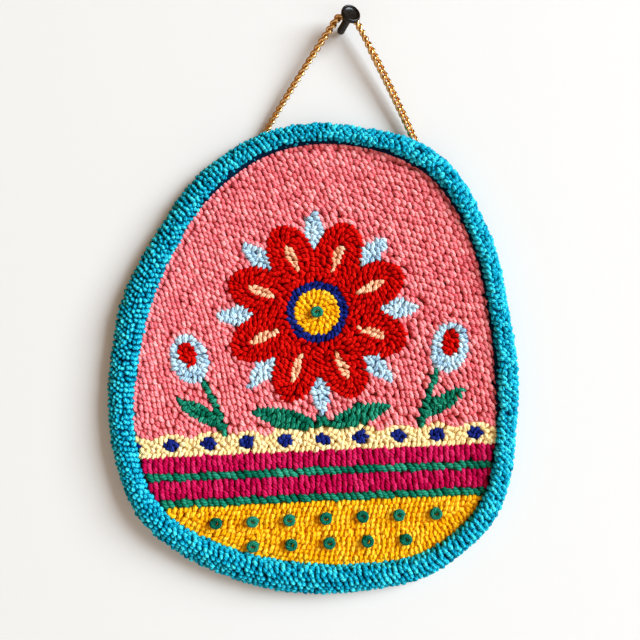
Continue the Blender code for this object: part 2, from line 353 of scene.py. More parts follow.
def level_lines(field, level):
    """Lines along which a gridded field has one value, as arrays of grid points."""
    above = field > level
    across, up = above[1:] != above[:-1], above[:, 1:] != above[:, :-1]
    name_x, name_z = np.full(across.shape, -1), np.full(up.shape, -1)
    name_x[across] = np.arange(across.sum())
    name_z[up] = across.sum() + np.arange(up.sum())
    i, j = np.nonzero(across)
    t = (level - field[i, j]) / (field[i + 1, j] - field[i, j])
    m, n = np.nonzero(up)
    s = (level - field[m, n]) / (field[m, n + 1] - field[m, n])
    points = np.concatenate([np.stack([i + t, j], 1), np.stack([m, n + s], 1)])
    cells = np.stack([name_x[:, :-1], name_z[1:], name_x[:, 1:], name_z[:-1]], -1).reshape(-1, 4)
    crossed = (cells >= 0).sum(axis=1)
    plain = -np.sort(-cells[crossed == 2], axis=1)[:, :2]
    saddle = cells[crossed == 4]
    neighbours = [[] for _ in points]
    for a, b in np.concatenate([plain, saddle[:, :2], saddle[:, 2:]]).tolist():
        neighbours[a].append(b)
        neighbours[b].append(a)
    seen = bytearray(len(points))
    lines = []
    for start in sorted(range(len(points)), key=lambda name: len(neighbours[name])):
        if seen[start]:
            continue
        seen[start] = 1
        line = [start]
        while True:
            onward = next((name for name in neighbours[line[-1]] if not seen[name]), None)
            if onward is None:
                break
            seen[onward] = 1
            line.append(onward)
        if len(line) > 2 and start in neighbours[line[-1]]:
            line.append(start)
        lines.append(points[line])
    return lines


# The yarns
# Worsted yarn of spun wool, four plies twisted together, in ten colours. Punched, it stands up as small soft
# arches. The twist shows as fine slanting lines, with painted shade in the grooves between plies and painted
# highlight on their crowns. The fibres scatter light softly, and gaps between loops go dark, on the border
# loops partly through shade painted on their legs.

PLIES = 4
TWIST_LENGTH = 7.0
FIBRES_TO_METRE = 1900.0  # clumps of fibre about 0.5 mm across
SIDES = 6
YARNS = {
    # shape: name, shadow, body, light, yarn width, arch half width, slant from the row in degrees, rise
    GROUND: ("pink", "#C4404C", "#F47E86", "#FFB4B4", 2.9, 1.15, 0, 0.0),
    PALE: ("pale_blue", "#5F86A8", "#A9CCE2", "#E4F5FC", 3.1, 1.6, 48, 0.2),
    RED_A: ("red", "#7A0000", "#C20300", "#E61C12", 2.75, 1.1, 38, 0.7),
    NAVY: ("navy", "#02062E", "#101E70", "#2C3C90", 2.9, 1.3, 30, 0.1),
    GOLD: ("gold", "#CF7400", "#FFB708", "#FFD945", 3.0, 1.15, 40, 0.0),
    LEAF: ("sea_green", "#003828", "#046C52", "#3CA888", 3.0, 1.5, 45, 0.2),
    CREAM: ("cream", "#E2BE7C", "#F9DC9C", "#FFEEC0", 3.2, 1.2, 40, -0.1),
    PEACH: ("peach", "#C4754E", "#F8B48A", "#FFD6B4", 2.8, 1.2, 30, 0.5),
    STRIPES: ("magenta", "#740026", "#B80044", "#DC3470", 3.2, 1.9, 82, 0.0),
}


def worsted(name, shadow, body, light):
    """Worsted wool: matt and fuzzy, with slanting plies and stray lighter and darker fibres."""
    material, tree, shader = new_material(name)
    place = add_node(tree, "ShaderNodeTexCoord")
    yarn_map = add_node(tree, "ShaderNodeUVMap", uv_map="yarn")
    ply = add_node(tree, "ShaderNodeSeparateXYZ", {0: yarn_map.outputs[0]})
    turn = add_node(tree, "ShaderNodeMath", {0: ply.outputs["X"], 1: ply.outputs["Y"]}, operation="ADD")
    wave = add_node(tree, "ShaderNodeMath", {0: turn.outputs[0], 1: math.pi}, operation="MULTIPLY")
    wave = add_node(tree, "ShaderNodeMath", {0: wave.outputs[0]}, operation="SINE")
    ridge = add_node(tree, "ShaderNodeMath", {0: wave.outputs[0]}, operation="ABSOLUTE")
    # tone is each loop's random tone; on the border loops it also holds the painted shade of their legs.
    tone = add_node(tree, "ShaderNodeAttribute", attribute_name="tone")
    fibres = add_node(tree, "ShaderNodeTexNoise", {
        "Vector": place.outputs["Object"], "Scale": FIBRES_TO_METRE, "Detail": 4.0, "Roughness": 0.65})
    # The plies paint the colour: their grooves pull it towards the shadow colour as painted shade and their
    # crowns towards the light colour as painted highlight. The fibres and the tone vary it at random.
    shade = add_node(tree, "ShaderNodeMath", {0: ridge.outputs[0], 1: 0.3, 2: -0.17},
                     operation="MULTIPLY_ADD")
    shade = add_node(tree, "ShaderNodeMath", {0: shade.outputs[0], 1: fibres.outputs["Fac"]}, operation="ADD")
    shade = add_node(tree, "ShaderNodeMath", {0: tone.outputs["Fac"], 1: 0.26, 2: shade.outputs[0]},
                     operation="MULTIPLY_ADD")
    ramp = add_node(tree, "ShaderNodeValToRGB", {"Fac": shade.outputs[0]})
    middle = ramp.color_ramp.elements.new(0.5)
    ramp.color_ramp.elements[0].position, ramp.color_ramp.elements[2].position = 0.05, 0.95
    for element, colour in zip(ramp.color_ramp.elements, (shadow, body, light)):
        element.color = linear(colour)
    relief = add_node(tree, "ShaderNodeMath", {0: fibres.outputs["Fac"], 1: 0.6, 2: ridge.outputs[0]},
                      operation="MULTIPLY_ADD")
    bump = add_node(tree, "ShaderNodeBump",
                    {"Height": relief.outputs[0], "Distance": 0.0004, "Strength": 0.6})
    set_inputs(tree, shader, {"Base Color": ramp.outputs["Color"], "Normal": bump.outputs["Normal"],
                              "Roughness": 0.85, "Specular IOR Level": 0.05})
    return material


def unit(vectors):
    return vectors / np.linalg.norm(vectors, axis=-1, keepdims=True)


def yarn_tubes(lines, radii, beside, sides=SIDES):
    """Closed tubes along many lines at once: points, polygons and twist coordinates.

    lines is (tubes, points, 3), radii is (tubes, points), and beside is (tubes, 3) and points out of each
    line's own plane.
    """
    tubes, steps = lines.shape[:2]
    ahead = unit(np.gradient(lines, axis=1))
    across = beside[:, None] - ahead * (ahead * beside[:, None]).sum(-1, keepdims=True)
    across = unit(across)
    over = np.cross(ahead, across)
    turn = 2 * np.pi * (np.arange(sides) + 0.5) / sides
    ring = np.cos(turn)[:, None] * across[:, :, None] + np.sin(turn)[:, None] * over[:, :, None]
    points = lines[:, :, None] + radii[:, :, None, None] * ring
    first = (np.arange(tubes) * steps * sides)[:, None, None]
    row = (np.arange(steps - 1) * sides)[:, None]
    side, after = np.arange(sides), (np.arange(sides) + 1) % sides
    quads = np.stack([row + side, row + after, row + sides + after, row + sides + side], axis=-1)
    quads = (first[..., None] + quads).reshape(-1, 4)
    caps = np.stack([side[::-1], (steps - 1) * sides + side])
    caps = (first + caps).reshape(-1, sides)
    length = np.concatenate([np.zeros((tubes, 1)), np.cumsum(
        np.linalg.norm(np.diff(lines, axis=1), axis=-1), axis=1)], axis=1) * PLIES / TWIST_LENGTH
    u = np.stack([length[:, :-1], length[:, :-1], length[:, 1:], length[:, 1:]], axis=-1)
    u = np.repeat(u[:, :, None], sides, axis=2)
    v = np.stack([side, side + 1, side + 1, side], axis=-1) * PLIES / sides
    v = np.broadcast_to(v, u.shape)
    cap_u = np.stack([length[:, 0], length[:, -1]], axis=1)[..., None] + np.zeros(sides)
    uv = np.concatenate([np.stack([u, v], -1).reshape(-1, 2),
                         np.stack([cap_u, cap_u * 0], -1).reshape(-1, 2)])
    return points.reshape(-1, 3), [quads, caps], uv


def join_tubes(parts):
    """Several sets of tubes as one."""
    points, polygons, quad_uv, cap_uv = [], [], [], []
    offset = 0
    for part_points, (quads, caps), uv in parts:
        points.append(part_points)
        polygons.append((quads + offset, caps + offset))
        quad_uv.append(uv[:quads.size])
        cap_uv.append(uv[quads.size:])
        offset += len(part_points)
    polygons = [np.concatenate([p[0] for p in polygons])] + [p[1] for p in polygons]
    return np.concatenate(points), polygons, np.concatenate(quad_uv + cap_uv)


# A loop's own line from foot to foot: how far along and how far down at its shoulders, in arch half widths,
# how much of its height is in its legs, and how thick its yarn is. Thick legs close the gaps between loops.
ARCH_ALONG = np.array([-0.9, -1.05, -0.98, -0.5, 0.5, 0.98, 1.05, 0.9])
ARCH_SHOULDER = np.array([0.0, 0.0, 0.75, 0.1, 0.1, 0.75, 0.0, 0.0])
ARCH_LEG = np.array([1.0, 0.55, 0.0, 0.0, 0.0, 0.0, 0.55, 1.0])
ARCH_YARN = np.array([2.0, 1.7, 1.0, 1.0, 1.0, 1.0, 1.7, 2.0])
# How much handmade loops differ: width and yarn as shares, tilt and lean as spreads, and the arch's own curl.
ARCH_WIDTHS, ARCH_YARNS = (0.86, 1.14), (0.92, 1.08)
ARCH_TILT, ARCH_LEAN, ARCH_CURL, ARCH_CURL_TURN = 0.16, 0.35, 0.22, 1.6


def arches(tops, out, lay, yarn, half, height, random, raised=0.0, unruly=1.0):
    """Loops whose tops touch the given points: out is away from the cloth and lay the way each arch runs.

    raised is how much higher the end stands that lay points to.
    """
    count = len(tops)
    lay = unit(lay - out * (lay * out).sum(-1, keepdims=True))
    beside = np.cross(out, lay)
    half = half * random.uniform(*ARCH_WIDTHS, count)
    yarn = yarn * random.uniform(*ARCH_YARNS, count)
    tilt = raised + random.normal(0.0, ARCH_TILT, count) * unruly
    lean = random.normal(0.0, ARCH_LEAN, count) * unruly
    along = ARCH_ALONG * half[:, None]
    down = ARCH_SHOULDER * half[:, None] + ARCH_LEG * (height - 0.5 * yarn)[:, None] + (yarn / 2)[:, None]
    down = down - tilt[:, None] * along * (1 - ARCH_LEG)
    sway = ARCH_CURL * half[:, None] * np.sin(ARCH_CURL_TURN * ARCH_ALONG)
    sway = lean[:, None] * (1 - ARCH_LEG) + sway
    lines = tops[:, None] + along[..., None] * lay[:, None] - down[..., None] * out[:, None]
    lines = lines + sway[..., None] * beside[:, None]
    return yarn_tubes(lines, yarn[:, None] / 2 * ARCH_YARN, beside)


# The looped face
# Wool yarn punched from the back, row beside row, so that the front is a dense pile of upright loops. Each
# shape is punched round its outline first and then inwards. Flat stitches join one loop to the next on the
# back.

ROW_SPACING, FIRST_ROW, STITCH, STITCH_STRAY = 3.0, 1.2, 3.2, 0.14
# No loop stands closer to another than CLOSEST, and a gap that is wide enough for one more gets it.
CLOSEST, GAP_TO_FILL, FILL_INSIDE, CELL = 2.35, 2.4, 0.75, 4
COLUMN_SPACING, COLUMN_SLOPE, COLUMN_BEND, COLUMN_STITCH = 2.95, -0.17, -0.0012, 2.9
COLUMN_FEET, COLUMN_TOP, COLUMN_SIDES = 300, 150, 134
COLUMN_START, COLUMN_STRAY, COLUMN_STITCHES, COLUMN_OVERLAP = 4, 0.1, (0.94, 1.06), 0.5
# The ground's loops are longer than wide, and more so from left to right.
STRETCH, STRETCH_RIGHT, STRETCH_FROM, STRETCH_OVER = 1.3, 0.45, -110, 130
PANEL_THICKNESS, PANEL_SWELL = 9.6, 1.3
PANEL_SHOULDER, SHOULDER_FROM, SHOULDER_OVER = 0.5, 0.95, 0.05
HEIGHT_STRAY, OUT_STRAY, SLANT_STRAY, TONE_SPREAD = 0.22, 0.09, 9.0, 0.45
# How much higher one end of each loop stands and how unruly the loops are, in the ground and in the shapes.
GROUND_LIE, SHAPES_LIE, FOOT_SINK = (0.12, 0.7), (0.0, 0.9), 0.3
PANEL_WAVES = ((2, 0.30, 0.5), (3, 0.25, 2.0), (5, 0.15, 3.4))
MOST_LOOPS = 1700
# Spacing along the row, yarn, slant in degrees, yarn width and arch half width, and then each row's height.
MAGENTA_ROW, GREEN_ROW = (3.4, STRIPES, 82, 3.3, 1.8), (4.1, LEAF, 120, 3.9, 2.3)
STRIPE_ROWS = (
    (-54.9, MAGENTA_ROW), (-58.2, MAGENTA_ROW), (-61.5, MAGENTA_ROW), (-66.5, GREEN_ROW),
    (-71.5, MAGENTA_ROW), (-74.8, MAGENTA_ROW), (-78.1, MAGENTA_ROW), (-83.1, GREEN_ROW),
)
STRIPE_REACH, STRIPE_MARGIN, STRIPE_STRAY = 130, 0.2, (0.12, 0.15)
BACK_STITCH_DEPTH, BACK_STITCH_FLATNESS, BACK_STITCH_CLEAR = 0.62, 0.55, 2.4
BACK_STITCH_YARN, BACK_STITCH_STRAY, BACK_STITCH_OVERLAP = np.array([0.55, 0.85, 0.55]), 0.08, 0.3
BACK_STITCH_SIDES = 4

random = np.random.default_rng(11)
smooth = depth_inside.copy()
for axis in (0, 1):
    smooth = (np.roll(smooth, 1, axis) + 2 * smooth + np.roll(smooth, -1, axis)) / 4
smooth[coarse < 0] = -1.0
loops = []
taken = {}


def along_wall(angle):
    """Directions along the wall, from angles that turn anticlockwise from the right."""
    return np.stack([np.cos(angle), np.zeros(len(angle)), np.sin(angle)], axis=1)


def column_way(z):
    """The way the ground's columns of loops run at a height in the picture."""
    return math.atan2(1.0, COLUMN_SLOPE + COLUMN_BEND * z)


def stretch(x):
    """How much longer than wide the ground's loops look: they lie flatter towards the right."""
    return STRETCH + STRETCH_RIGHT * min(1.0, max(0.0, (x - STRETCH_FROM) / STRETCH_OVER))


def punch(x, z, along, closest, outline=True):
    """Adds a loop at a place in the picture if no other loop is too close.

    along is its row's direction. The ground takes loops from its outline and its columns alone.
    """
    i, j = round((x - span_x[0]) / GRID_STEP), round((z - span_z[0]) / GRID_STEP)
    shape = int(drawing[i, j])
    if shape in (-1, STRIPES) or shape == GROUND and not outline:
        return
    ground = shape == GROUND
    lie, longer = (column_way(z), stretch(x)) if ground else (0.0, 1.0)
    cell = (int(x // CELL), int(z // CELL))
    for a in (-1, 0, 1):
        for b in (-1, 0, 1):
            for px, pz in taken.get((cell[0] + a, cell[1] + b), ()):
                lengthways, sideways = turned(px - x, pz - z, -math.degrees(lie))
                if math.hypot(lengthways / longer, sideways) < closest:
                    return
    taken.setdefault(cell, []).append((x, z))
    name = RED_A if shape == RED_B else shape
    yarn, half, slant = YARNS[name][4:7]
    if ground:
        along, half = lie, (COLUMN_STITCH * longer - yarn) / 2 + COLUMN_OVERLAP
    loops.append((x, z, along, name, slant, yarn, half, STITCH * longer))


for level in np.arange(FIRST_ROW, smooth.max(), ROW_SPACING):
    for line in level_lines(smooth, level):
        line = line * FIELD_STEP + (span_x[0], span_z[0])
        steps = np.hypot(*np.diff(line, axis=0).T)
        travelled = np.concatenate([[0.0], np.cumsum(steps)])
        if travelled[-1] < STITCH / 2:
            continue
        count = max(1, round(travelled[-1] / STITCH))
        stops = (np.arange(count) + random.uniform(0.2, 0.8)) * travelled[-1] / count
        stops = np.clip(stops + random.normal(0.0, STITCH_STRAY, count), 0.0, travelled[-1])
        before, here, after = (
            np.stack([np.interp(np.clip(stops + shift, 0, travelled[-1]), travelled, line[:, axis])
                      for axis in (0, 1)], axis=1) for shift in (-STITCH / 2, 0.0, STITCH / 2))
        way = np.arctan2(*(after - before).T[::-1])
        for (x, z), angle in zip(here.tolist(), way.tolist()):
            punch(x, z, angle, CLOSEST, outline=level < ROW_SPACING)
for foot in np.arange(-COLUMN_FEET, COLUMN_FEET, COLUMN_SPACING).tolist():
    z = -COLUMN_TOP + COLUMN_START * random.uniform()
    while z < COLUMN_TOP:
        x = foot + COLUMN_SLOPE * z + COLUMN_BEND / 2 * z**2 + random.normal(0.0, COLUMN_STRAY)
        i, j = round((x - span_x[0]) / FIELD_STEP), round((z - span_z[0]) / FIELD_STEP)
        if abs(x) < COLUMN_SIDES and smooth[i, j] > FIRST_ROW:
            punch(x, z, 0.0, CLOSEST)
        z += COLUMN_STITCH * stretch(x) * math.sin(column_way(z)) * random.uniform(*COLUMN_STITCHES)
slope_x, slope_z = np.gradient(smooth)
for i, j in np.argwhere(smooth > FILL_INSIDE).tolist():
    punch(coarse_x[i], coarse_z[j], math.atan2(slope_x[i, j], -slope_z[i, j]), GAP_TO_FILL)
for height, (spacing, name, slant, yarn, half) in STRIPE_ROWS:
    x = np.arange(-STRIPE_REACH, STRIPE_REACH, spacing)
    x = x + random.normal(0.0, STRIPE_STRAY[0], len(x))
    z = height + random.normal(0.0, STRIPE_STRAY[1], len(x))
    for px, pz in np.stack([x, z], 1)[inside_egg(x, z, STRIPE_MARGIN) > 0].tolist():
        loops.append((px, pz, 0.0, name, slant, yarn, half, STITCH))

loops = np.array(loops)
loop_yarn = loops[:, 3].astype(int)
picture_way = loops[:, 2] + PICTURE_TURN
egg_x, egg_z = to_egg(loops[:, 0], loops[:, 1])
bearing, distance = np.arctan2(egg_z, egg_x), np.hypot(egg_x, egg_z)
reach, width = egg_edge(bearing)
share = distance / (reach - width)
top = PANEL_THICKNESS + share * unevenness(PANEL_WAVES, bearing)
top -= PANEL_SHOULDER * np.clip((share - SHOULDER_FROM) / SHOULDER_OVER, 0, 1) ** 2
top += PANEL_SWELL * np.clip(share * np.cos(bearing), 0, 1)
top += np.array([YARNS[name][7] for name in loop_yarn]) + random.normal(0.0, HEIGHT_STRAY, len(loops))
tops = at_bearing(bearing, distance, top)
out_x, out_z = random.normal(0.0, OUT_STRAY, (2, len(loops)))
out = unit(np.stack([out_x, -np.ones(len(loops)), out_z], axis=1))
lay = along_wall(picture_way + np.radians(loops[:, 4] + random.normal(0.0, SLANT_STRAY, len(loops))))
tone = np.clip(random.normal(0.0, TONE_SPREAD, len(loops)), -1, 1)
hidden = distance > reach - CLOTH_INSET * width - HEM_WIDTH - BACK_STITCH_CLEAR

for name, (title, shadow, body, light, *_) in YARNS.items():
    wool = worsted(f"worsted_wool_{title}", shadow, body, light)
    raised, unruly = GROUND_LIE if name == GROUND else SHAPES_LIE
    chosen = np.flatnonzero(loop_yarn == name)
    chosen = chosen[np.argsort(loops[chosen, 0], kind="stable")]
    for number, part in enumerate(np.array_split(chosen, math.ceil(len(chosen) / MOST_LOOPS)), 1):
        height = top[part] - CLOTH_FRONT + FOOT_SINK
        front = arches(tops[part], out[part], lay[part], *loops[part, 5:7].T, height, random, raised, unruly)
        sewn = part[~hidden[part]]
        middle = tops[sewn]
        middle[:, 1] = 0.0
        run = along_wall(picture_way[sewn] + random.normal(0.0, BACK_STITCH_STRAY, len(sewn)))
        ends = np.array([-0.5, 0.0, 0.5])[:, None] * (loops[sewn, 7] + BACK_STITCH_OVERLAP)[:, None, None]
        lines = middle[:, None] + ends * run[:, None]
        back = yarn_tubes(lines, np.broadcast_to(BACK_STITCH_YARN, (len(sewn), 3)),
                          np.broadcast_to([0.0, -1.0, 0.0], (len(sewn), 3)), BACK_STITCH_SIDES)
        back[0][:, 1] = back[0][:, 1] * BACK_STITCH_FLATNESS - BACK_STITCH_DEPTH
        points, polygons, uv = join_tubes([front, back])
        tones = np.concatenate([np.repeat(tone[part], len(ARCH_ALONG) * SIDES),
                                np.repeat(tone[sewn], len(BACK_STITCH_YARN) * BACK_STITCH_SIDES)])
        piece = make_piece(f"{title}_loops_{number}", points, polygons, wool, uv, tones)


# The border roll
# The same wool in turquoise, punched with a longer needle in many close rows, so that the loops fan out over
# the edge of the cloth in a fat round rim. Under the tops the loops are packed too close to tell apart, and
# there they are painted dark navy as shade.

ROLL_SECTION = np.array([
    # across the width, and depth as a share of the crest, from the outside over to the inside
    (0.30, 0.0), (0.12, 0.10), (0.03, 0.24), (0.0, 0.41), (0.05, 0.59), (0.18, 0.77),
    (0.38, 0.91), (0.59, 0.99), (0.77, 0.99), (0.92, 0.86), (1.0, 0.62), (1.0, 0.0),
])
ROLL_CREST, ROLL_USUAL_WIDTH, ROLL_MIDDLE_DEPTH = 15.6, 16.0, 7.0
SECTION_POINTS, SECTION_SMOOTHING = 241, 60
ROLL_LUMPS = ((7, 0.25, 0.6), (11, 0.20, 2.1), (19, 0.15, 4.0))
ROLL_SHIFT, ROLL_DROP = 0.6, 1.6
# Shares of the way over the roll at which the rows of loops begin and stop. They stop early at the right.
ROLL_WIDEST, ROLL_TO, ROLL_TO_LEFT = 0.204, 0.715, 0.85
ROLL_ROWS, ROW_MARGIN, ROW_STRAY, ROLL_STITCH_STRAY = range(-2, 16), 0.6, 0.006, 0.07
TO_SHARE, TO_SHARE_RIGHT, TO_SHARE_TOP = 0.3, 1.2, 0.35
# Sizes at the left, and what is added at the right and at the foot.
ROLL_SPACING, ROLL_STITCH, ROLL_PILE = (2.6, -0.05, 0.3), (3.35, 0.35, 0.3), 5.5
ROLL_YARN, ROLL_HALF, ROLL_RAISED, ROLL_TONES = (2.2, 0.3, 0.55), (0.5, 0.42, 0.4), 0.1, 0.5
ROLL_LEAN, ROLL_LEAN_SPREAD, FOOT_LEAN_SPREAD, FOOT_SHARE = math.radians(98), 36.0, 14.0, 1.4
ROLL_PROUD, ROLL_PROUD_SPREAD, ROLL_PROUD_RIGHT, ROLL_PROUD_LIMITS = 0.4, 0.35, 0.5, (-0.5, 1.4)
# Little light reaches the legs of the loops, so they are shaded down from the tops.
ARCH_SHADE = np.array([-3.5, -3.0, -0.9, 0.3, 0.3, -0.9, -3.0, -3.5])
ROLL_STATIONS, ROLL_TURNS, NEAR_BEARING, NEAR_SHARE = 192, 1440, 0.004, 0.02
# The stems lie deep under the tops. Where the rows stop early, the stems come up to the skin, and show as a
# thin dark line along the face.
STEM_RINGS, STEM_SINK, STEM_PROUD, STEM_PROUD_RIGHT, STEM_IN_CLOTH = 22, 3.0, 0.5, 0.8, 0.4
BARED_BEARING, BARED_SHARE, BARED_FROM, BARED_OVER = 0.9, 0.55, 0.62, 0.12

section_steps = np.hypot(*(np.diff(ROLL_SECTION, axis=0) * (ROLL_USUAL_WIDTH, ROLL_CREST)).T)
section_at = np.concatenate([[0.0], np.cumsum(section_steps)]) / section_steps.sum()
fine = np.linspace(0, 1, SECTION_POINTS)
fine_section = np.stack([np.interp(fine, section_at, ROLL_SECTION[:, axis]) for axis in (0, 1)], axis=1)
for _ in range(SECTION_SMOOTHING):
    fine_section[1:-1] = (fine_section[:-2] + 2 * fine_section[1:-1] + fine_section[2:]) / 4


def to_the_right(bearing):
    """1 at the egg's right-hand side, falling to 0 at the top and the foot, and 0 at the left."""
    return np.clip(np.cos(bearing), 0, 1)


def roll_surface(bearing, along, sink=0.0):
    """Points on the roll's skin, in mm, at bearings and shares of the way over it from outside to inside."""
    reach, width = egg_edge(bearing)
    across, rise = (np.interp(along, fine, fine_section[:, axis]) for axis in (0, 1))
    across = across + ROLL_SHIFT * np.cos(bearing) * across**2 * (1 - across)
    swell = unevenness(ROLL_LUMPS, bearing)
    middle = 0.5 * width
    distance = reach + swell * (1 - across) - across * width
    depth = rise * (ROLL_CREST - ROLL_DROP * to_the_right(bearing) + swell)
    shrink = 1 - 2 * sink / width
    distance = reach - middle + (distance - reach + middle) * shrink
    depth = np.where(np.asarray(sink) == 0, depth, np.maximum(CLOTH_FRONT - STEM_IN_CLOTH, depth - sink))
    return at_bearing(bearing, distance, depth)


def round_egg(sizes, bearing):
    """A size at each bearing, from what it is at the left and what is added at the right and at the foot.

    Half of what is added at the foot is added at the top.
    """
    left, right, foot = sizes
    upright = np.sin(bearing)
    return left + right * to_the_right(bearing) + foot * upright**2 * np.where(upright < 0, 1.0, 0.5)


core_bearing = 2 * np.pi * np.arange(ROLL_STATIONS) / ROLL_STATIONS
core = []
for along in np.linspace(0.0, 1.0, STEM_RINGS):
    bared = np.clip(np.cos(core_bearing - BARED_BEARING) + BARED_SHARE, 0, 1)
    bared = bared * np.clip((along - BARED_FROM) / BARED_OVER, 0, 1)
    proud = STEM_PROUD + STEM_PROUD_RIGHT * to_the_right(core_bearing)
    sink = STEM_SINK - (STEM_SINK + proud) * bared
    core.append(roll_surface(core_bearing, np.full(ROLL_STATIONS, along), sink))
turquoise = worsted("worsted_wool_turquoise", "#003250", "#009EC0", "#4CE8F2")
# The packed stems' dark navy is painted shade, which shows as a dark line where they come up to the skin.
shade_painted_turquoise = worsted("packed_wool_turquoise_painted_shade", "#000A16", "#00203C", "#003A5C")
core_uv = np.zeros((STEM_RINGS * ROLL_STATIONS * 4, 2))
border_core = make_piece("border_loop_stems", np.concatenate(core),
                         [ring_faces(STEM_RINGS, ROLL_STATIONS, closed_section=True)], shade_painted_turquoise,
                         core_uv, np.zeros(STEM_RINGS * ROLL_STATIONS))
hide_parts("border_roll")

fine_bearing = np.linspace(0, 2 * np.pi, ROLL_TURNS + 1)
arc = np.hypot(np.diff(fine_section[:, 0]) * egg_edge(fine_bearing)[1][:, None],
               np.diff(fine_section[:, 1]) * ROLL_CREST).sum(axis=1)
innermost = ROLL_TO_LEFT - (ROLL_TO_LEFT - ROLL_TO) * np.clip(
    TO_SHARE + TO_SHARE_RIGHT * np.cos(fine_bearing) + TO_SHARE_TOP * np.sin(fine_bearing), 0, 1)
border = []
spacing = round_egg(ROLL_SPACING, fine_bearing) / arc
for row in ROLL_ROWS:
    along = np.minimum(ROLL_WIDEST + row * spacing, innermost)
    fits = ROLL_WIDEST + (row - ROW_MARGIN) * spacing < innermost
    if not fits.any():
        break
    track = roll_surface(fine_bearing, along)
    stitch = round_egg(ROLL_STITCH, fine_bearing[1:])
    travelled = np.concatenate([[0.0], np.cumsum(np.linalg.norm(np.diff(track, axis=0), axis=1) / stitch)])
    count = round(travelled[-1])
    stops = np.arange(count) + random.uniform() + random.normal(0, ROLL_STITCH_STRAY, count)
    stops = stops * travelled[-1] / count
    here = np.interp(np.mod(stops, travelled[-1]), travelled, fine_bearing)
    there = np.interp(here, fine_bearing, along) + random.normal(0.0, ROW_STRAY, count)
    border.append(np.stack([here, there], axis=1)[np.interp(here, fine_bearing, fits) > 0.5])
bearing, along = np.concatenate(border).T
tops = roll_surface(bearing, along)
ahead = unit(roll_surface(bearing + NEAR_BEARING, along) - roll_surface(bearing - NEAR_BEARING, along))
over = roll_surface(bearing, np.minimum(along + NEAR_SHARE, 1)) - roll_surface(bearing, along - NEAR_SHARE)
out = unit(np.cross(unit(over), ahead))
reach, width = egg_edge(bearing)
from_middle = tops - at_bearing(bearing, reach - 0.5 * width, ROLL_MIDDLE_DEPTH)
out *= np.sign((out * from_middle).sum(-1, keepdims=True))
foot = np.clip(-FOOT_SHARE * np.sin(bearing), 0, 1)
spread = ROLL_LEAN_SPREAD + (FOOT_LEAN_SPREAD - ROLL_LEAN_SPREAD) * foot
lay = along_wall(ROLL_LEAN + np.radians(spread * random.normal(0.0, 1.0, len(bearing))))
proud = random.normal(ROLL_PROUD, ROLL_PROUD_SPREAD, len(tops)) + ROLL_PROUD_RIGHT * to_the_right(bearing)
tops += out * np.clip(proud, *ROLL_PROUD_LIMITS)[:, None]
half, yarn = round_egg(ROLL_HALF, bearing), round_egg(ROLL_YARN, bearing)
tone = np.clip(random.normal(0.0, ROLL_TONES, len(tops)), -1, 1)
order = np.argsort(tops[:, 0], kind="stable")
for number, part in enumerate(np.array_split(order, math.ceil(len(order) / MOST_LOOPS)), 1):
    points, polygons, uv = arches(tops[part], out[part], lay[part], yarn[part], half[part],
                                  np.full(len(part), ROLL_PILE), random, ROLL_RAISED)
    points[:, 1] = np.minimum(points[:, 1], 0.0)  # the wall presses the lowest loops flat
    # Each loop's tone is its random tone plus the painted shade of its legs.
    piece = make_piece(f"border_loops_{number}", points, polygons, turquoise, uv,
                       np.repeat((tone[part][:, None] + ARCH_SHADE).ravel(), SIDES))


# Raised tufts
# Thick green wool, pulled up by hand through the finished loops and curled into a small coil: one at the
# flower's heart and two rows in the gold band. Each curl stands well above the loops round it.

TUFT_ROWS = (
    # height in the picture, spacing, count, shift
    (34.0, 0.0, 1, 0.0),
    (-95.5, 23.0, 7, 0.0),
    (-111.0, 24.0, 5, 1.5),
)
TUFT_YARN, TUFT_RADIUS, TUFT_TURNS, TUFT_RISE = 2.7, 2.75, 1.35, 2.1
TUFT_POINTS, TUFT_SIDES, TUFT_STRAY, TUFT_WIDTHS, TUFT_TONES = 22, 8, 0.12, (0.82, 0.98), (-0.6, 0.3)
# Each curl starts low in the pile and comes up, and its end turns in and dips in the coil's middle.
CURL_LOW, CURL_UP_BY = 4.0, 0.12
CURL_END_FROM, CURL_IN, CURL_IN_OVER, CURL_DIP, CURL_DIP_OVER = 0.72, 0.95, 0.24, 1.5, 0.28
# Its yarn is pressed thinner at both ends: places along it, and shares of its width there.
SWELL_AT, SWELL = (0.0, 0.15, 0.6, 1.0), (0.8, 1.0, 1.05, 0.75)

curls = []
for height, spacing, count, shift in TUFT_ROWS:
    for k in range(count):
        x, z = to_egg(shift + spacing * (k - (count - 1) / 2), height)
        bearing, distance = math.atan2(z, x), math.hypot(x, z)
        reach, width = egg_edge(np.array([bearing]))
        surface = PANEL_THICKNESS + distance / (reach[0] - width[0]) * unevenness(PANEL_WAVES, bearing)
        along = np.linspace(0, 1, TUFT_POINTS)
        turn = random.uniform(0, 2 * np.pi) + 2 * np.pi * TUFT_TURNS * along
        inward = TUFT_RADIUS * (1 - CURL_IN * np.clip((along - CURL_END_FROM) / CURL_IN_OVER, 0, 1))
        rise = TUFT_RISE - CURL_LOW * np.clip(1 - along / CURL_UP_BY, 0, 1)
        rise -= CURL_DIP * np.clip((along - CURL_END_FROM) / CURL_DIP_OVER, 0, 1)
        rise += random.normal(0.0, TUFT_STRAY) * np.sin(turn)
        centre = at_bearing(np.array([bearing]), np.array([distance]), surface)[0]
        upright = inward * np.sin(turn) * random.uniform(*TUFT_WIDTHS)
        curls.append(centre + np.stack([inward * np.cos(turn), -rise, upright], axis=1))
curls = np.array(curls)
swell = np.interp(np.linspace(0, 1, TUFT_POINTS), SWELL_AT, SWELL)
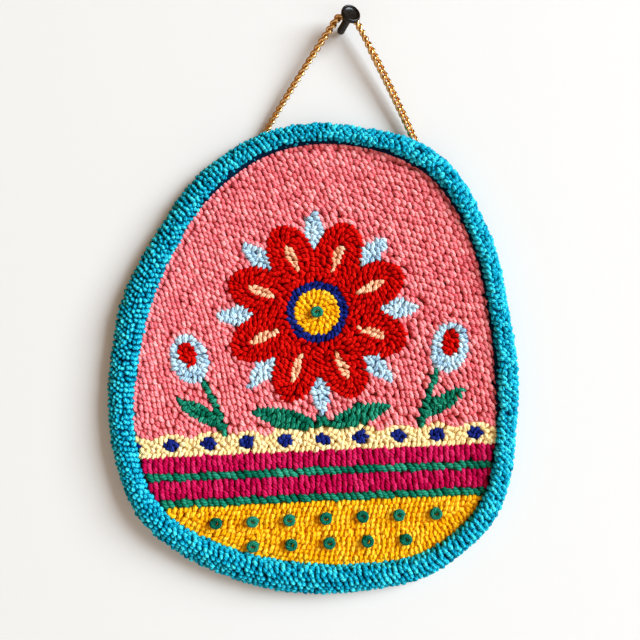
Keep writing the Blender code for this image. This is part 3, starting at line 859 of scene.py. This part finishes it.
points, polygons, uv = yarn_tubes(curls, TUFT_YARN / 2 * np.broadcast_to(swell, curls.shape[:2]),
                                  np.broadcast_to([0.0, -1.0, 0.0], (len(curls), 3)), sides=TUFT_SIDES)
thick_green = worsted("thick_wool_sea_green", "#00201A", "#066650", "#46B090")
tones = np.repeat(random.uniform(*TUFT_TONES, len(curls)), TUFT_POINTS * TUFT_SIDES)
raised_tufts = make_piece("raised_tufts", points, polygons, thick_green, uv, tones)
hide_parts(*[f"raised_knot_{number:02d}" for number in range(1, len(curls) + 1)])


# The push pin
# A household push pin, moulded in glossy black ABS round a steel needle that is inside the wall: a ball end,
# a slim shank and a wide head with a rim round its dished face.

PIN_SHANK_RADIUS = 2.5
PIN_AXIS = Vector((0.40, -1.0, 0.32)).normalized()
PIN_PROFILE = (
    # radius and place along the axis, from the middle of the dished face to the shank
    (0.0, 15.9), (2.4, 15.93), (4.1, 16.02), (4.5, 16.2), (4.75, 16.6),
    (5.0, 16.95), (5.3, 17.1), (5.65, 17.02), (6.0, 16.7), (6.2, 16.2),
    (6.22, 15.5), (6.1, 14.8), (5.7, 14.35), (4.7, 13.8), (3.6, 13.3),
    (2.9, 12.6), (2.55, 11.6), (2.42, 9.5), (2.40, 6.0), (2.44, 2.5),
)
PIN_STEPS, PIN_BALL_STEPS = 56, 9
SMUDGES_TO_METRE = 700.0  # smudges about 1.4 mm across


def moulded_abs(name, colour):
    """ABS from a polished mould: deep black with tight highlights, dulled a little by handling."""
    material, tree, shader = new_material(name)
    place = add_node(tree, "ShaderNodeTexCoord")
    handling = add_node(tree, "ShaderNodeTexNoise",
                        {"Vector": place.outputs["Object"], "Scale": SMUDGES_TO_METRE, "Detail": 3.0})
    gloss = add_node(tree, "ShaderNodeMapRange", {
        0: handling.outputs["Fac"], 1: 0.3, 2: 0.7, 3: 0.16, 4: 0.34})
    set_inputs(tree, shader, {"Base Color": linear(colour), "Roughness": gloss.outputs[0], "IOR": 1.53,
                              "Specular IOR Level": 0.3})
    return material


ball = Vector((0.0, -PIN_SHANK_RADIUS, 0.0))
profile = list(PIN_PROFILE)
for k in range(PIN_BALL_STEPS + 1):
    angle = math.radians(90) * k / PIN_BALL_STEPS
    profile.append((PIN_SHANK_RADIUS * math.cos(angle), -PIN_SHANK_RADIUS * math.sin(angle)))
to_pin = np.array(PIN_AXIS.to_track_quat("Z", "Y").to_matrix())
turn = 2 * np.pi * np.arange(PIN_STEPS) / PIN_STEPS
rings = [np.stack([radius * np.cos(turn), radius * np.sin(turn), np.full(PIN_STEPS, height)], axis=1)
         for radius, height in profile[1:-1]]
rings.append(np.array([[0.0, 0.0, profile[0][1]], [0.0, 0.0, profile[-1][1]]]))
body = ring_faces(len(profile) - 2, PIN_STEPS, closed_section=False)[:, ::-1]
tip = (len(profile) - 2) * PIN_STEPS
face_fan = fan(tip, 0, PIN_STEPS)[:, [0, 2, 1]]
ball_fan = fan(tip + 1, tip - PIN_STEPS, PIN_STEPS)
push_pin = make_piece("push_pin", np.concatenate(rings) @ to_pin.T + np.array(ball),
                      [body, face_fan, ball_fan], moulded_abs("moulded_black_abs", "#08080A"))
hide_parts("wall_pin")


# The chain
# Fine curb chain of brass wire, bent, twisted flat and plated with gold. It lies over the pin's shank, and
# each of its ends is held to the roll's back by a few turns of thread.

LINK_LENGTH, LINK_WIDTH, LINK_PITCH = 6.0, 3.1, 4.4
# The part's own links have thin, plain wire and a gap to the shank. They say only where the links lie, and
# the values after them give the real links' shape.
SOLID_WIRE, LINK_TWIST, GAP = 0.85, 1.0, 0.3
LINK_WIRE, WIRE_TWIST, LINK_POINTS, WIRE_SIDES = 1.85, 1.15, 32, 8
SHOULDER_ANGLE, TILT_ON_PIN, SEAT_ON_PIN = math.radians(33), math.radians(3.5), 8.4
RUNS = (
    # side, links, drop in degrees, depth of the end, bulge, turn of the chain's face in degrees
    (-1, 19, 57.0, 3.6, 0.8, 15),
    (1, 19, 63.0, 3.6, 0.8, 75),
)
LINKS_TO_TURN = 8
SCRATCHES_TO_METRE = 1500.0  # patches of fine scratches about 0.7 mm across


def link_frame(start, end, side, up):
    """A link's place between two joints, its X along the chain and its Z near to up."""
    x = (side * (end - start)).normalized()
    y = up.cross(x).normalized()
    return Matrix.Translation((start + end) / 2) @ Matrix((x, y, x.cross(y))).transposed().to_4x4()


across = Vector((math.cos(TILT_ON_PIN), 0.0, -math.sin(TILT_ON_PIN)))
rise = PIN_AXIS.cross(across).normalized()
top_link = ball + SEAT_ON_PIN * PIN_AXIS + (PIN_SHANK_RADIUS + GAP + LINK_TWIST + SOLID_WIRE / 2) * rise
link_frames = [link_frame(top_link - LINK_PITCH / 2 * across, top_link + LINK_PITCH / 2 * across, 1, rise)]
chain_ends = []
for side, links, drop_deg, end_depth, bulge, face_deg in RUNS:
    shoulder = side * math.cos(SHOULDER_ANGLE) * across - math.sin(SHOULDER_ANGLE) * rise
    shoulder_face = side * math.sin(SHOULDER_ANGLE) * across + math.cos(SHOULDER_ANGLE) * rise
    joint = top_link + side * LINK_PITCH / 2 * across
    joints = [joint, joint + LINK_PITCH * shoulder]
    drop = math.radians(drop_deg)
    heading = Vector((side * math.cos(drop), 0.0, -math.sin(drop)))
    outward = Vector((side * math.sin(drop), 0.0, math.cos(drop)))
    lift = -end_depth - joints[1].y
    for k in range(1, links + 1):
        part = k / links
        bow = 4 * bulge * part * (1 - part)
        joints.append(joints[1] + heading * LINK_PITCH * k + outward * bow + Vector((0.0, lift * part, 0.0)))
    face_turn = math.radians(face_deg)
    run_face = math.cos(face_turn) * outward + math.sin(face_turn) * Vector((0.0, -1.0, 0.0))
    for k, (start, end) in enumerate(zip(joints, joints[1:])):
        face = shoulder_face.lerp(run_face, min(1.0, k / LINKS_TO_TURN))
        link_frames.append(link_frame(start, end, side, face))
    chain_ends.append((joints[-1], (joints[-1] - joints[-2]).normalized()))


def plated_wire(name, colour, shade):
    """Gold plate over drawn brass: a warm mirror, softened by fine scratches from wear."""
    material, tree, shader = new_material(name)
    place = add_node(tree, "ShaderNodeTexCoord")
    wear = add_node(tree, "ShaderNodeTexNoise",
                    {"Vector": place.outputs["Object"], "Scale": SCRATCHES_TO_METRE, "Detail": 3.0})
    ramp = add_node(tree, "ShaderNodeValToRGB", {"Fac": wear.outputs["Fac"]})
    ramp.color_ramp.elements[0].color, ramp.color_ramp.elements[1].color = linear(shade), linear(colour)
    ramp.color_ramp.elements[0].position, ramp.color_ramp.elements[1].position = 0.3, 0.6
    gloss = add_node(tree, "ShaderNodeMapRange", {0: wear.outputs["Fac"], 1: 0.3, 2: 0.7, 3: 0.3, 4: 0.18})
    set_inputs(tree, shader, {"Base Color": ramp.outputs["Color"], "Roughness": gloss.outputs[0],
                              "Metallic": 1.0})
    return material


turn = 2 * np.pi * np.arange(LINK_POINTS) / LINK_POINTS
loop = np.stack([LINK_LENGTH / 2 * np.cos(turn), LINK_WIDTH / 2 * np.sin(turn),
                 WIRE_TWIST * np.sin(2 * turn)], axis=1)
ahead = unit(np.roll(loop, -1, axis=0) - np.roll(loop, 1, axis=0))
beside = unit(np.cross(ahead, [0.0, 0.0, 1.0]))
above = np.cross(beside, ahead)
spin = 2 * np.pi * np.arange(WIRE_SIDES) / WIRE_SIDES
link = [loop + LINK_WIRE / 2 * (math.cos(angle) * beside + math.sin(angle) * above) for angle in spin]
link = np.concatenate(link)
link_quads = ring_faces(WIRE_SIDES, LINK_POINTS, closed_section=True)
placed, quads = [], []
for number, place in enumerate(link_frames):
    place = np.array(place)
    placed.append(link @ place[:3, :3].T + place[:3, 3])
    quads.append(link_quads + number * len(link))
curb_chain = make_piece("curb_chain", np.concatenate(placed), [np.concatenate(quads)],
                        plated_wire("gold_plated_brass_wire", "#F2CA8A", "#BC8240"))
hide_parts(*[f"chain_link_{number:02d}" for number in range(1, len(link_frames) + 1)])

THREAD, THREAD_TURN, THREAD_GAP, THREAD_PAST_END, THREAD_POINTS = 0.7, 1.35, 0.75, 1.7, 15
forward = Vector((0.0, -1.0, 0.0))
rings, sideways = [], []
for end, heading in chain_ends:
    aside = heading.cross(forward)
    for k in (-1, 0, 1):
        centre = end + THREAD_PAST_END * heading + k * THREAD_GAP * aside
        rings.append([centre + THREAD_TURN * (math.cos(a) * heading + math.sin(a) * forward)
                      for a in np.linspace(0, 2 * np.pi, THREAD_POINTS)])
        sideways.append(list(aside))
rings, sideways = np.array(rings), np.array(sideways)
points, polygons, uv = yarn_tubes(rings, np.full(rings.shape[:2], THREAD / 2), sideways)
chain_thread = make_piece("chain_thread", points, polygons, turquoise, uv, np.zeros(len(points)))


# The room
# A plain white wall behind, a pale floor below, a large soft light at the upper right and an even fill. The
# wall is only a backdrop: it shows from the front and doesn't shade the piece's back. Lengths are in metres.

CAMERA_PLACE, CAMERA_LENS, CAMERA_SENSOR = (-0.0134, -0.446, -0.1849), 39.04, 36.0
KEY_PLACE, KEY_AIM, KEY_SIZE, KEY_POWER = (5.6, -3.9, 2.4), (0.0, 0.0, -0.2), 4.0, 1085.0
KEY_COLOUR, FILL_COLOUR, FILL_STRENGTH = (0.81, 0.925, 1.0), (1.0, 0.54, 0.22, 1.0), 0.34
ROOM_HALF_WIDTH, WALL_BEHIND, WALL_TOP = 2.5, 0.0006, 1.8
FLOOR_HEIGHT, FLOOR_NEAR, FLOOR_FAR = -0.9, -3.0, 2.0


def painted(name, colour, one_sided):
    """Matt emulsion paint, even and without gloss."""
    material, tree, shader = new_material(name)
    set_inputs(tree, shader, {"Base Color": linear(colour), "Roughness": 0.95, "Specular IOR Level": 0.1})
    if one_sided:
        side = add_node(tree, "ShaderNodeNewGeometry")
        clear = add_node(tree, "ShaderNodeBsdfTransparent")
        mix = add_node(tree, "ShaderNodeMixShader", {
            0: side.outputs["Backfacing"], 1: shader.outputs[0], 2: clear.outputs[0]})
        tree.links.new(mix.outputs[0], tree.nodes["Material Output"].inputs["Surface"])
    return material


def backdrop(name, near, far, material):
    """A large plain sheet between two lines across the room, each given by its depth and height."""
    corners = [(side * ROOM_HALF_WIDTH, *line) for side, line in ((-1, near), (1, near), (1, far), (-1, far))]
    mesh = bpy.data.meshes.new(name)
    mesh.from_pydata(corners, [], [(0, 1, 2, 3)])
    mesh.materials.append(material)
    made = add_object(name, mesh)
    return made


wall = backdrop("wall", (WALL_BEHIND, FLOOR_HEIGHT), (WALL_BEHIND, WALL_TOP),
                painted("white_wall_paint", "#DCDBDA", one_sided=True))
wall.visible_diffuse = wall.visible_glossy = wall.visible_transmission = wall.visible_shadow = False
backdrop("floor", (FLOOR_NEAR, FLOOR_HEIGHT), (FLOOR_FAR, FLOOR_HEIGHT),
         painted("pale_floor_paint", "#E6E4E0", one_sided=False))

key = bpy.data.lights.new("key_light", "AREA")
key.size, key.energy, key.color = KEY_SIZE, KEY_POWER, KEY_COLOUR
key_light = add_object("key_light", key)
key_light.location = KEY_PLACE
aim = Vector(KEY_AIM) - key_light.location
key_light.rotation_euler = aim.to_track_quat("-Z", "Y").to_euler()

world = bpy.data.worlds.new("soft_fill")
world.use_nodes = True
set_inputs(world.node_tree, world.node_tree.nodes["Background"],
           {"Color": FILL_COLOUR, "Strength": FILL_STRENGTH})
bpy.context.scene.world = world
bpy.context.scene.view_settings.view_transform = "Standard"

camera = add_object("camera", bpy.data.cameras.new("camera"))
camera.location = CAMERA_PLACE
camera.rotation_euler = (math.radians(90), 0.0, 0.0)
camera.data.lens = CAMERA_LENS
camera.data.sensor_width = CAMERA_SENSOR
camera.data.clip_start = 0.01
bpy.context.scene.camera = camera
